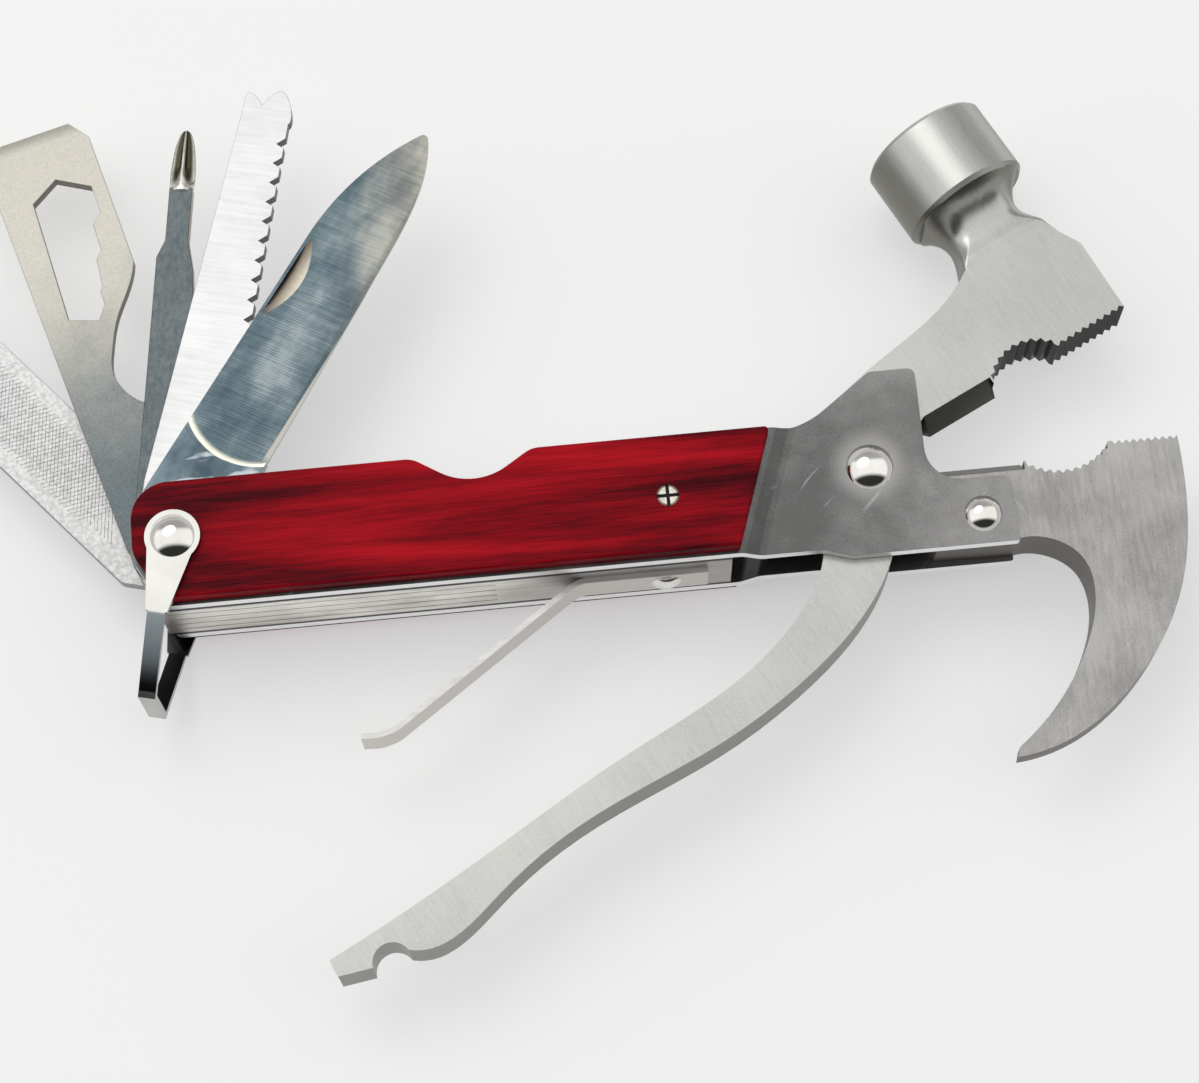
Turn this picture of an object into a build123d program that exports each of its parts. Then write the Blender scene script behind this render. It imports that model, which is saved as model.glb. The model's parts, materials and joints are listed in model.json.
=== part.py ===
from build123d import *
import math
import os

# Hammer multi-tool, lying flat on its back plate, jaws open, five tools fanned out.
# Working frame: millimetres, origin on the jaw pivot, +X along the handle towards the head,
# +Y from the grip towards the hammer, +Z up through the thickness. The finished pieces are
# then shifted so that the origin is under the middle of the whole tool.

# ---- Layers through the thickness -------------------------------------------------------
tool_thickness = 2.0
washer_thickness = 0.36
washer_play = 0.02            # on each side of a washer
plate_thickness = 1.8
scale_thickness = 2.5
clip_thickness = 0.9
clip_play = 0.1               # on each side of the clip's eye
lever_thickness = 8.0
lever_play = 0.1              # on each side of the lever
claw_thickness = 8.2

# ---- Places along the handle ------------------------------------------------------------
axle_x = -108.35              # tool axle
axle_y = -2.7
handle_top = 7.3
handle_bottom = -12.9
head_bottom = -14.3
handle_rear = 7.0             # from the tool axle to the rear end
rear_corner = 6.5
notch_x = -61.6               # thumb notch
notch_half_width = 9.3
notch_depth = 6.5
notch_radius = 9.5
notch_lead_in = 4.0
scale_inset = 0.55            # steel rim left showing round the wood
scale_front_x = -18.4         # wood's front end where it crosses the handle's centre line
scale_front_lean = 19.0       # degrees
joggle_gap = 0.5              # from the wood to the bend in the plate
joggle_length = 2.8
joggle_radius = 2.0
claw_rivet_x = 16.6
claw_rivet_y = -9.4
scale_screw_x = -32.0
scale_screw_y = -3.3

# ---- Rivets, axle and fits --------------------------------------------------------------
axle_radius = 2.0
axle_head_radius = 3.4
axle_head_height = 1.3
pivot_radius = 2.4
pivot_head_radius = 3.7
pivot_head_height = 1.7
claw_rivet_radius = 1.9
claw_rivet_head_radius = 2.95
claw_rivet_head_height = 1.5
screw_radius = 1.2
screw_head_radius = 1.75
screw_head_depth = 1.0
screw_slot = 0.5
running_fit = 0.05            # radial, on everything that turns
clear = 0.3                   # between pieces that pass each other
washer_radius = 3.6

# ---- Lever ------------------------------------------------------------------------------
lever_open = 26.5             # degrees the lever stands open
boss_radius = 8.0             # half-lapped round the pivot
lap_gap = 0.1                 # between the two half laps
poll_x = 40.25
poll_radius = 10.6
poll_face_y = 44.5
poll_back_y = 30.9
poll_edge = 0.7
neck_start_y = 20.4           # where the flat lever starts to swell into the poll
jaw_tip_x = 49.9
jaw_flat_y = 1.7
lever_flat_x = 37.3           # where the flat teeth start, beyond the round grip
lever_grip = (31.0, -2.0)
lever_grip_radius = 7.2
cutter_start = 12.4
cutter_end = 24.9
cutter_edge_y = 0.75
cutter_bevel = 2.3
tooth_depth = 0.6
flat_teeth = 9
grip_teeth = 9
claw_grip_teeth = 11

# ---- Claw -------------------------------------------------------------------------------
claw_flat_y = 1.25
claw_flat_x = 38.4
claw_nose_x = 48.8
claw_cutter_edge_y = 0.15
claw_cutter_start = 10.9
claw_cutter_end = 24.3
claw_grip = (30.2, 6.6)
claw_grip_radius = 9.35
claw_thin_from_y = -20.0      # the hook is ground thinner from here to its tip
claw_tip_y = -47.6
claw_tip_thickness = 3.4

# ---- Springs and bracket ----------------------------------------------------------------
spring_thickness = 0.8
spring_slit = 0.25
spring_slit_length = 52.0
spring_overhang = 3.4         # behind the tool axle
spring_pad_length = 7.4
spring_front_x = -22.9
bracket_thickness = 0.5
bracket_length = 24.0
bracket_ear = 1.9
leaf_thickness = 0.9
leaf_width = 6.0
leaf_foot_front_x = -26.7
leaf_hinge_x = -47.6
leaf_hinge_gap = 0.8          # between the fixed foot and the blade, where the strip flexes
leaf_rivet_x = -33.2
leaf_rivet_radius = 1.2
leaf_rivet_head_radius = 2.4
leaf_rivet_head_height = 1.0

# ---- Lock clip --------------------------------------------------------------------------
clip_eye_radius = 4.3
clip_arm_width = 3.4
clip_strip_width = 2.7
clip_arm_length = 12.3
clip_reach = 24.0             # from the axle to the middle of the web
clip_web_half = 4.6           # inner half width at the web
clip_rest = -104.0            # degrees from +X

# ---- Fold-out tools ---------------------------------------------------------------------
tang_radius = 7.3
knife_length = 80.1
knife_spine = 9.7
knife_edge = -4.8
knife_bevel = 1.0             # width of the cutting bevel
knife_edge_half = 0.15
knife_grind_depth = 0.55      # at the bevel, on each side
knife_grind_start = 15.9
nick_x = 47.7                 # nail nick
nick_length = 15.3
nick_width = 2.3
nick_depth = 0.7
nick_margin = 0.7             # from the spine
saw_length = 82.0
saw_pitch = 3.5
driver_length = 74.7
driver_axis = 4.95
driver_shaft_radius = 1.9
opener_length = 80.7
opener_left = 9.4
opener_right = -8.6
file_length = 76.0
file_left = 8.8
file_right = -5.9
rest_angles = {"knife_blade": 55.5, "saw_blade": 75.5, "phillips_driver": 83.0,
               "opener_wrench": 105.5, "file_blade": 130.8}

# ---- Sizes that follow ------------------------------------------------------------------
tool_pitch = tool_thickness + washer_thickness + 2 * washer_play
tool_names = list(rest_angles)
channel_half = (len(tool_names) * tool_pitch + washer_thickness + 2 * washer_play) / 2
frame_half = channel_half + plate_thickness
grip_half = frame_half + scale_thickness
head_inner = claw_thickness / 2
head_half = head_inner + plate_thickness
lever_half = min(lever_thickness / 2, head_inner - lever_play)
clip_inner = grip_half + clip_play
clip_outer = clip_inner + clip_thickness
axle_shoulder = clip_outer + clip_play
through = 2 * (axle_shoulder + axle_head_height)
spring_top = handle_bottom + spring_thickness
spring_rear_x = axle_x - spring_overhang
tang_pad_top = axle_y - tang_radius - clear
layer = {name: (len(tool_names) - 1) / 2 * tool_pitch - index * tool_pitch
         for index, name in enumerate(tool_names)}


# ---- Helpers ----------------------------------------------------------------------------
def plate(face, low, high):
    """Thicken a flat outline between two heights."""
    return Pos(0, 0, low) * extrude(face, amount=high - low)


def rounded(*corners):
    """Closed outline from (x, y, corner radius) points."""
    line = FilletPolyline([(x, y) for x, y, _ in corners], radius=[r for _, _, r in corners],
                          close=True)
    return make_face(line)


def disc(x, y, radius):
    return Pos(x, y) * Circle(radius)


def pin(x, y, radius, low, high):
    return plate(disc(x, y, radius), low, high)


def dome(x, y, radius, height, base):
    """Spherical rivet head standing on z = base; a negative height points it downwards."""
    size = abs(height)
    ball = (radius ** 2 + size ** 2) / (2 * size)
    cap = Pos(0, 0, size - ball) * Sphere(ball) & Pos(0, 0, size) * Box(4 * ball, 4 * ball, 2 * size)
    cap = cap if height > 0 else Rot(180, 0, 0) * cap
    return Pos(x, y, base) * cap


def rivet(x, y, shank, head, height, half):
    """Shank with a domed head on each side."""
    return pin(x, y, shank, -half, half) + dome(x, y, head, height, half) + dome(x, y, head, -height, -half)


def toothed_edge(start, end, count, depth, into):
    """Cutting outline that turns a straight edge into a row of V teeth; into points at the metal."""
    start = Vector(*start)
    step = (Vector(*end) - start) / count
    depth_step = Vector(*into).normalized() * depth
    crests = [start + step * index for index in range(count + 1)]
    roots = [crest + step / 2 + depth_step for crest in crests[:-1]]
    zigzag = [point for pair in zip(crests, roots) for point in pair] + [crests[-1]]
    back = [crests[-1] - depth_step, crests[0] - depth_step]
    return make_face(Polyline([(p.X, p.Y) for p in zigzag + back], close=True))


def toothed_arc(centre, radius, first, last, count, depth):
    """The same for the wall of a round hollow, between two angles in degrees."""
    step = (last - first) / count

    def on_circle(reach, position):
        turn = math.radians(first + step * position)
        return (centre[0] + reach * math.cos(turn), centre[1] + reach * math.sin(turn))

    zigzag = []
    for index in range(count):
        zigzag += [on_circle(radius, index), on_circle(radius + depth, index + 0.5)]
    back = [on_circle(radius - depth, index) for index in range(count, -1, -1)]
    return make_face(Polyline(zigzag + [on_circle(radius, count)] + back, close=True))


def cutter_wedge(x_start, x_end, edge_y, rise, half):
    """Wire-cutter blade: a ridge along X, its edge in the middle plane; a negative rise points it down."""
    section = Plane(origin=(x_start, edge_y, 0), x_dir=(0, 0, -1), z_dir=(1, 0, 0))
    profile = section * make_face(Polyline([(0, 0), (half, -rise), (-half, -rise)], close=True))
    return extrude(profile, amount=x_end - x_start)


# ---- Frame plates and wooden scales -----------------------------------------------------
def handle_corners(inset):
    """The handle's rear end, back edge and thumb notch, drawn in by an inset."""
    top = handle_top - inset
    bottom = handle_bottom + inset
    rear = axle_x - handle_rear + inset
    return [
        (axle_x - 2.4 + inset, bottom, 2.0),
        (rear, axle_y - 1.9, 5.0),
        (rear, top, rear_corner - inset),
        (notch_x - notch_half_width, top, notch_lead_in),
        (notch_x, handle_top - notch_depth, notch_radius),
        (notch_x + notch_half_width, top, notch_lead_in),
    ]


def scale_front(y, gap=0.0):
    """X of the wood's slanted front end at a given height."""
    return scale_front_x + gap + (y - axle_y) * math.tan(math.radians(scale_front_lean))


def scale_outline():
    top = handle_top - scale_inset
    bottom = handle_bottom + scale_inset
    front = [(scale_front(top), top, 0.6), (scale_front(bottom), bottom, 0.3)]
    return rounded(*handle_corners(scale_inset), *front)


def plate_outline():
    head = [
        (-9.9, handle_top, 14.0),
        (1.7, 15.9, 2.0),
        (9.0, 15.9, 1.3),
        (8.8, -3.4, 5.5),
        (21.6, -3.4, 1.6),
        (21.8, head_bottom, 0.5),
        (-4.3, head_bottom, 3.0),
        (-8.8, handle_bottom, 3.0),
    ]
    return rounded(*handle_corners(0.0), *head)


def frame_plate():
    """Stamped side plate, joggled inwards in front of the wood."""
    lean = math.radians(scale_front_lean)
    bend_x = scale_front(axle_y, joggle_gap)
    section = Plane(origin=(bend_x, axle_y, 0), x_dir=(-math.cos(lean), math.sin(lean), 0),
                    z_dir=(math.sin(lean), math.cos(lean), 0))
    reach = 2 * abs(axle_x)
    profile = rounded(
        (reach, channel_half, 0), (0, channel_half, joggle_radius),
        (-joggle_length, head_inner, joggle_radius), (-reach, head_inner, 0),
        (-reach, head_half, 0), (-joggle_length, head_half, joggle_radius),
        (0, frame_half, joggle_radius), (reach, frame_half, 0))
    sheet = extrude(section * profile, amount=reach, both=True)
    body = sheet & plate(plate_outline(), 0, grip_half)
    body -= pin(0, 0, pivot_radius, 0, grip_half)
    body -= pin(claw_rivet_x, claw_rivet_y, claw_rivet_radius, 0, grip_half)
    body -= pin(axle_x, axle_y, axle_radius, 0, grip_half)
    body -= pin(scale_screw_x, scale_screw_y, screw_radius, 0, grip_half)
    return body


def wood_scale():
    body = plate(scale_outline(), frame_half, grip_half)
    rim = body.faces().sort_by(Axis.Z)[-1].edges()
    body = fillet(rim, radius=0.5)
    body -= pin(axle_x, axle_y, axle_radius, 0, grip_half)
    body -= pin(scale_screw_x, scale_screw_y, screw_radius, 0, grip_half)
    body -= pin(scale_screw_x, scale_screw_y, screw_head_radius, grip_half - screw_head_depth, grip_half)
    return body


def scale_screw():
    body = pin(scale_screw_x, scale_screw_y, screw_radius, channel_half, grip_half - screw_head_depth)
    body += pin(scale_screw_x, scale_screw_y, screw_head_radius, grip_half - screw_head_depth, grip_half)
    for turn in (0, 90):
        slot = Box(2 * screw_head_radius, screw_slot, screw_slot)
        body -= Pos(scale_screw_x, scale_screw_y, grip_half) * Rot(0, 0, turn) * slot
    return body


# ---- Jaws -------------------------------------------------------------------------------
def lever_outline():
    """Hammer neck, upper jaw, boss and grip arm, drawn with the jaws closed."""
    back = Spline([(32.0, neck_start_y), (23.5, 16.7), (11.7, 14.7), (2.0, 12.4)])
    top_arm = Spline([(2.0, 12.4), (-8.5, 4.5), (-13.0, -7.0), (-22.3, -14.1), (-36.7, -18.0), (-56.0, -18.8),
                      (-83.0, -20.8), (-110.6, -22.1)])
    tip = Polyline([(-110.6, -22.1), (-110.7, -24.9), (-105.7, -26.5)])
    hook = ThreePointArc((-105.7, -26.5), (-102.7, -24.3), (-99.8, -27.0))
    low_arm = Spline([(-99.8, -27.0), (-98.5, -27.9), (-83.1, -26.7), (-62.0, -24.3), (-44.0, -24.9),
                      (-26.0, -23.0), (-13.0, -19.0), (-4.8, -13.8), (0.0, -boss_radius)])
    belly = Polyline([(0.0, -boss_radius), (6.0, 0.0), (cutter_start, cutter_edge_y + cutter_bevel),
                      (cutter_end, cutter_edge_y + cutter_bevel), (cutter_end, jaw_flat_y)])
    front = Polyline([(cutter_end, jaw_flat_y), (jaw_tip_x, jaw_flat_y), (50.4, 14.6), (48.6, 18.0),
                      (47.9, neck_start_y), (32.0, neck_start_y)])
    face = make_face([back, top_arm, tip, hook, low_arm, belly, front])
    face -= disc(*lever_grip, lever_grip_radius)
    face -= toothed_edge((lever_flat_x, jaw_flat_y), (jaw_tip_x, jaw_flat_y), flat_teeth, tooth_depth, (0, 1))
    face -= toothed_arc(lever_grip, lever_grip_radius, 36, 144, grip_teeth, tooth_depth)
    return face


def hammer_lever():
    body = plate(lever_outline(), -lever_half, lever_half)
    body += cutter_wedge(cutter_start, cutter_end, cutter_edge_y, -cutter_bevel, lever_half)
    body += hammer_poll()
    body += pin(0, 0, boss_radius, -lever_half, lever_half)
    body -= pin(0, 0, boss_radius + clear, -lap_gap / 2, lever_half)
    body -= pin(0, 0, pivot_radius + running_fit, -lever_half, lever_half)
    return Rot(0, 0, lever_open) * body


def hammer_poll():
    """Round striking head with broken edges, on a neck that swells out of the flat lever."""
    profile = make_face(Polyline([
        (0, poll_back_y), (poll_radius - poll_edge, poll_back_y), (poll_radius, poll_back_y + poll_edge),
        (poll_radius, poll_face_y - poll_edge), (poll_radius - poll_edge, poll_face_y), (0, poll_face_y)],
        close=True))
    head = Pos(poll_x, 0, 0) * revolve(profile, axis=Axis.Y)
    swelling = [(neck_start_y, 32.0, 47.9, lever_half, 0.4),
                (23.2, 32.9, 47.0, lever_half, 1.9),
                (26.0, 33.1, 46.3, lever_half, 3.4),
                (28.6, 32.3, 47.2, lever_half + 1.2, 4.2),
                (poll_back_y, poll_x - 9.0, poll_x + 9.0, lever_half + 4.4, 5.2)]
    sections = []
    for y, left, right, half, corner in swelling:
        section = Plane(origin=((left + right) / 2, y, 0), x_dir=(1, 0, 0), z_dir=(0, 1, 0))
        sections.append(section * RectangleRounded(right - left, 2 * half, corner))
    return head + loft(sections)


def claw_jaw():
    """Fixed lower jaw, wire-cutter anvil and hooked claw, half-lapped on to the jaw pivot."""
    inner = Spline([(21.5, -13.5), (26.6, -13.9), (31.0, -17.2), (32.3, -23.0), (29.8, -31.6), (24.6, -39.6),
                    (17.7, -46.0)])
    tip = Line((17.7, -46.0), (17.2, claw_tip_y))
    outer = Spline([(17.2, claw_tip_y), (26.8, -45.0), (37.3, -36.9), (44.6, -26.2), (48.2, -13.5),
                    (claw_nose_x, claw_flat_y)])
    cutter_foot = claw_cutter_edge_y - cutter_bevel
    tang = Polyline([(claw_nose_x, claw_flat_y), (claw_cutter_end, claw_flat_y), (claw_cutter_end, cutter_foot),
                     (claw_cutter_start, cutter_foot), (3.0, -1.5), (3.2, -6.0), (9.2, -13.3), (21.5, -13.5)])
    face = make_face([inner, tip, outer, tang])
    face -= disc(*claw_grip, claw_grip_radius)
    face -= toothed_edge((claw_flat_x, claw_flat_y), (claw_nose_x, claw_flat_y), flat_teeth, tooth_depth, (0, -1))
    face -= toothed_arc(claw_grip, claw_grip_radius, 233, 323, claw_grip_teeth, tooth_depth)
    body = plate(face, -head_inner, head_inner)
    body += cutter_wedge(claw_cutter_start, claw_cutter_end, claw_cutter_edge_y, cutter_bevel, head_inner)
    body -= pin(0, 0, boss_radius + clear, -head_inner, head_inner)
    body += pin(0, 0, boss_radius, lap_gap / 2, head_inner) + lap_web()
    body -= pin(0, 0, pivot_radius, -head_inner, head_inner)
    body -= pin(claw_rivet_x, claw_rivet_y, claw_rivet_radius, -head_inner, head_inner)
    return body - claw_thinning() - other_side(claw_thinning())


def claw_thinning():
    """What is ground off the front face of the hook."""
    side = Plane(origin=(0, 0, 0), x_dir=(0, 1, 0), z_dir=(1, 0, 0))
    ground = make_face(Polyline([(claw_thin_from_y, head_inner), (claw_tip_y, claw_tip_thickness / 2),
                                 (claw_tip_y - 5, claw_tip_thickness / 2), (claw_tip_y - 5, grip_half),
                                 (claw_thin_from_y, grip_half)], close=True))
    return extrude(side * ground, amount=2 * claw_nose_x)


def lap_web():
    """Front half lap that joins the claw's tang to its eye round the pivot."""
    web = make_face(Polyline([(6.0, -4.5), (9.5, -2.2), (9.8, -10.0), (4.0, -6.6)], close=True))
    return plate(web, lap_gap / 2, head_inner)


# ---- Springs ----------------------------------------------------------------------------
def tool_spring():
    """Back spring: one strip along the underside, slit into a finger for each tool."""
    length = spring_front_x - spring_rear_x
    half = channel_half - washer_play
    strip = Pos(spring_rear_x + length / 2, handle_bottom + spring_thickness / 2, 0)
    body = strip * Box(length, spring_thickness, 2 * half)
    pad_height = tang_pad_top - spring_top
    pad = Pos(spring_rear_x + spring_pad_length / 2, spring_top + pad_height / 2, 0)
    body += pad * Box(spring_pad_length, pad_height, 2 * half)
    for index in range(len(tool_names) - 1):
        slit_z = (index - (len(tool_names) - 2) / 2) * tool_pitch
        slit = Box(2 * spring_slit_length, 4 * pad_height + 2, spring_slit)
        body -= Pos(spring_rear_x, spring_top, slit_z) * slit
    body -= leaf_rivet_hole()
    return body


def leaf_rivet_hole():
    return Pos(leaf_rivet_x, handle_bottom, 0) * Rot(90, 0, 0) * Cylinder(leaf_rivet_radius, 8)


def spring_bracket():
    """Channel spot-welded between the plates, which carries both springs."""
    middle_x = spring_front_x - bracket_length / 2
    web_y = spring_top + bracket_thickness / 2
    ear_y = spring_top + bracket_ear / 2
    body = Pos(middle_x, web_y, 0) * Box(bracket_length, bracket_thickness, 2 * channel_half)
    for side in (-1, 1):
        ear_z = side * (channel_half - bracket_thickness / 2)
        body += Pos(middle_x, ear_y, ear_z) * Box(bracket_length, bracket_ear, bracket_thickness)
    return body - leaf_rivet_hole()


def leaf_strip(points, radii):
    """Flat strip bent along a line, seen from the side, in the middle of the thickness."""
    centre = FilletPolyline(points, radius=radii)
    return plate(trace(centre, line_width=leaf_thickness), -leaf_width / 2, leaf_width / 2)


leaf_foot_y = handle_bottom - leaf_thickness / 2


def leaf_spring_foot():
    """The spring's flat end, riveted under the bracket."""
    length = leaf_foot_front_x - leaf_hinge_x
    body = Pos(leaf_hinge_x + length / 2, leaf_foot_y, 0) * Box(length, leaf_thickness, leaf_width)
    return body - leaf_rivet_hole()


def leaf_spring_blade():
    """The free blade, from where it starts to bend down to its turned-up tip."""
    start = Vector(leaf_hinge_x, leaf_foot_y)
    heel = Vector(-76.8, -34.2)
    gap = (heel - start).normalized() * leaf_hinge_gap
    return leaf_strip([start + gap, heel, (-79.2, -35.1), (-82.2, -34.9)], [3.0, 2.0])


def leaf_spring_rivet():
    top = spring_top + bracket_thickness
    low = handle_bottom - leaf_thickness
    shank = Pos(leaf_rivet_x, (top + low) / 2, 0) * Rot(90, 0, 0) * Cylinder(leaf_rivet_radius, top - low)
    head = dome(0, 0, leaf_rivet_head_radius, leaf_rivet_head_height, 0)
    return shank + Pos(leaf_rivet_x, low, 0) * Rot(90, 0, 0) * head


# ---- Lock clip --------------------------------------------------------------------------
def lock_clip():
    """Bent strip bail on the axle, hanging down; its web hooks under the lever's tip."""
    body = Part()
    width = clip_strip_width / 2
    for side in (-1, 1):
        eye = disc(0, 0, clip_eye_radius)
        arm = make_face(Polyline([(-1.2, clip_eye_radius * 0.97), (-1.2, -clip_eye_radius * 0.97),
                                  (clip_arm_length, -clip_arm_width / 2), (clip_arm_length, clip_arm_width / 2)],
                                 close=True))
        flat = eye + arm
        flat -= disc(0, 0, axle_radius + running_fit)
        low = clip_inner if side > 0 else -clip_outer
        body += plate(flat, low, low + clip_thickness)
        section = Plane(origin=(0, -width, 0), x_dir=(1, 0, 0), z_dir=(0, 1, 0))
        outer = clip_outer * -side
        inner = clip_inner * -side
        web = clip_web_half * -side
        web_outer = (clip_web_half + clip_thickness) * -side
        end = clip_reach + clip_thickness / 2
        bend = make_face(Polyline([(clip_arm_length - 1.5, inner), (clip_arm_length, inner),
                                   (end - clip_thickness, web), (end - clip_thickness, 0), (end, 0),
                                   (end, web_outer), (clip_arm_length + 0.4, outer),
                                   (clip_arm_length - 1.5, outer)], close=True))
        body += extrude(section * bend, amount=clip_strip_width)
    return Pos(axle_x, axle_y, 0) * Rot(0, 0, clip_rest) * body


# ---- Fold-out tools, each drawn pointing along +X from its axle ---------------------------
def knife_outline():
    length = knife_length
    edge = Spline([(length - 0.5, 1.4), (length - 5.4, -0.9), (length - 12.2, -2.5),
                   (length - 29.6, knife_edge + 1.2)])
    heel = Polyline([(length - 29.6, knife_edge + 1.2), (18.0, knife_edge), (6.0, -4.6), (0.0, -2.0),
                     (5.5, knife_spine), (length - 24.0, knife_spine)])
    spine = Spline([(length - 24.0, knife_spine), (length - 10.8, knife_spine - 2.1), (length - 0.3, 2.8)])
    tip = ThreePointArc((length - 0.3, 2.8), (length, 2.1), (length - 0.5, 1.4))
    return make_face([edge, heel, spine, tip])


def knife_grind():
    """What is ground off the front: a shallow wedge, then the cutting bevel, with a rounded rear end."""
    rise = math.degrees(math.atan2(1.2, knife_length - 47.6))
    across = Plane(origin=(18.0, knife_edge, 0), x_dir=(0, 0, 1), z_dir=(1, 0, 0)).rotated((0, 0, rise))
    half = tool_thickness / 2
    wedge = make_face(Polyline([(half, -knife_spine + knife_edge - 2), (half - knife_grind_depth, -knife_bevel),
                                (knife_edge_half, 0.3), (knife_edge_half, 6), (half + 1, 6),
                                (half + 1, -knife_spine + knife_edge - 2)], close=True))
    ground = extrude(across * wedge, amount=2 * knife_length, both=True)
    rear = ThreePointArc((18.6, knife_spine + 1), (knife_grind_start, 1.4), (19.8, knife_edge - 1))
    front = Polyline([(19.8, knife_edge - 1), (2 * knife_length, knife_edge - 1),
                      (2 * knife_length, knife_spine + 1), (18.6, knife_spine + 1)])
    return ground & plate(make_face([rear, front]), 0, tool_thickness)


def nail_nick():
    """Crescent cut with a tilted wheel: a steep wall by the spine and a floor that slopes up from it."""
    wheel = ((nick_length / 2) ** 2 + nick_depth ** 2) / (2 * nick_depth)
    slope = math.atan2(nick_depth, nick_width)
    cut = Plane(origin=(nick_x, knife_spine - nick_margin, tool_thickness / 2 - nick_depth), x_dir=(1, 0, 0),
                z_dir=(0, -math.cos(slope), math.sin(slope)))
    return extrude(cut * Pos(0, wheel) * Circle(wheel), amount=2 * nick_width)


def knife_blade():
    body = plate(knife_outline() + disc(0, 0, tang_radius), -tool_thickness / 2, tool_thickness / 2)
    return body - knife_grind() - other_side(knife_grind()) - nail_nick()


def saw_outline():
    body = Polyline([(0, -4.0), (30.0, -4.2), (38.0, -3.4), (75.5, -2.4)])
    prongs = Spline([(75.5, -2.4), (79.5, -1.9), (saw_length - 0.6, 0.0), (80.2, 1.5), (78.4, 2.6)])
    fork = Spline([(78.4, 2.6), (79.6, 3.5), (saw_length - 1.6, 4.8), (78.2, 5.5)])
    spine = Polyline([(78.2, 5.5), (46.0, 6.8), (11.0, 8.0), (6.0, 7.6), (0.0, -4.0)])
    face = make_face([body, prongs, fork, spine])
    for index in range(10):
        x = 39.8 + index * saw_pitch
        y = -3.35 + (x - 38.0) * 0.027
        face -= make_face(Polyline([(x, y - 1), (x + 2.5, y - 1), (x + 0.5, y + 1.25), (x, y + 0.2)], close=True))
    return face


def saw_blade():
    return plate(saw_outline() + disc(0, 0, tang_radius), -tool_thickness / 2, tool_thickness / 2)


def phillips_driver():
    """Flat tang tapering to a round shaft with a cross tip."""
    flat = rounded((0, -5.0, 0), (14.0, -3.6, 8), (46.0, driver_axis - 3.3, 2), (49.5, driver_axis - 3.0, 1.5),
                   (54.5, driver_axis - driver_shaft_radius, 0), (54.5, driver_axis + driver_shaft_radius, 0),
                   (51.5, driver_axis + 3.1, 1.2), (14.0, 8.0, 8), (5.0, 8.0, 2), (0, 5.0, 0))
    half = tool_thickness / 2
    body = plate(flat + disc(0, 0, tang_radius), -half, half)
    neck = 52.5
    shaft = Pos(neck, driver_axis, 0) * Rot(0, 90, 0)
    tip_cone = driver_length - 2.9
    radius = half
    profile = make_face(Polyline([(0, 0), (radius, 0), (radius, tip_cone - neck), (0.35, driver_length - neck),
                                  (0, driver_length - neck)], close=True))
    plain = Pos(neck, driver_axis, 0) * Rot(0, 0, -90) * revolve(profile, axis=Axis.Y)
    blank = plate(rounded((neck, driver_axis - driver_shaft_radius, 0), (tip_cone, driver_axis - driver_shaft_radius, 0),
                          (driver_length, driver_axis - 0.3, 0), (driver_length, driver_axis + 0.3, 0),
                          (tip_cone, driver_axis + driver_shaft_radius, 0),
                          (neck, driver_axis + driver_shaft_radius, 0)), -half, half)
    return body + blank + plain


def opener_outline():
    left = opener_left
    right = opener_right
    top = Polyline([(0, tang_radius - 2), (5.5, left - 1.6), (opener_length, left), (opener_length, right + 2.5),
                    (76.6, right), (52.4, right)])
    hook = Spline([(52.4, right), (48.2, right + 2.3), (43.9, -3.1), (38.8, -0.6), (35.2, 0.5), (32.1, 0.1),
                   (28.9, -1.8), (26.6, -6.9)])
    tang = Polyline([(26.6, -6.9), (0, -6.9), (0, tang_radius - 2)])
    return make_face([top, hook, tang])


def wrench_hole():
    """Stepped six-sided wrench opening, its flats getting smaller towards the tang."""
    return make_face(Polyline([(68.2, 3.7), (71.1, -1.0), (67.8, -6.2), (62.8, -6.2), (61.2, -4.4), (56.3, -4.2),
                               (55.0, -3.0), (50.3, -2.5), (49.3, -1.9), (46.9, -1.8), (44.5, -0.1), (46.3, 4.5)],
                              close=True))


def opener_wrench():
    face = opener_outline() + disc(0, 0, tang_radius) - wrench_hole()
    body = plate(face, -tool_thickness / 2, tool_thickness / 2)
    bevel = Plane(origin=(opener_length + 1, -20, 0), x_dir=(-1, 0, 0), z_dir=(0, 1, 0))
    ramp = make_face(Polyline([(0, tool_thickness), (4.0, tool_thickness / 2), (0, -0.2)], close=True))
    return body - extrude(bevel * ramp, amount=40)


def file_blade():
    outline = rounded((0, -5.0, 0), (10.0, file_right, 4), (file_length - 3, file_right, 2),
                      (file_length, file_right + 4, 3), (file_length, file_left - 4, 3),
                      (file_length - 3, file_left, 2), (5.5, file_left, 1.5), (0, 5.0, 0))
    return plate(outline + disc(0, 0, tang_radius), -tool_thickness / 2, tool_thickness / 2)


def fold_out_tool(name, body):
    """Bore a tool for the axle and turn it out to its rest angle, in its own layer."""
    body -= pin(0, 0, axle_radius + running_fit, -tool_thickness, tool_thickness)
    return Pos(axle_x, axle_y, layer[name]) * Rot(0, 0, rest_angles[name]) * body


def tool_washers():
    washer = disc(axle_x, axle_y, washer_radius) - disc(axle_x, axle_y, axle_radius)
    gap_count = len(tool_names) + 1
    group = []
    for index in range(gap_count):
        middle = (index - (gap_count - 1) / 2) * tool_pitch
        group.append(plate(washer, middle - washer_thickness / 2, middle + washer_thickness / 2))
    return Compound(group)


# ---- Assembly ---------------------------------------------------------------------------
def other_side(body):
    return mirror(body, about=Plane.XY)


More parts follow.
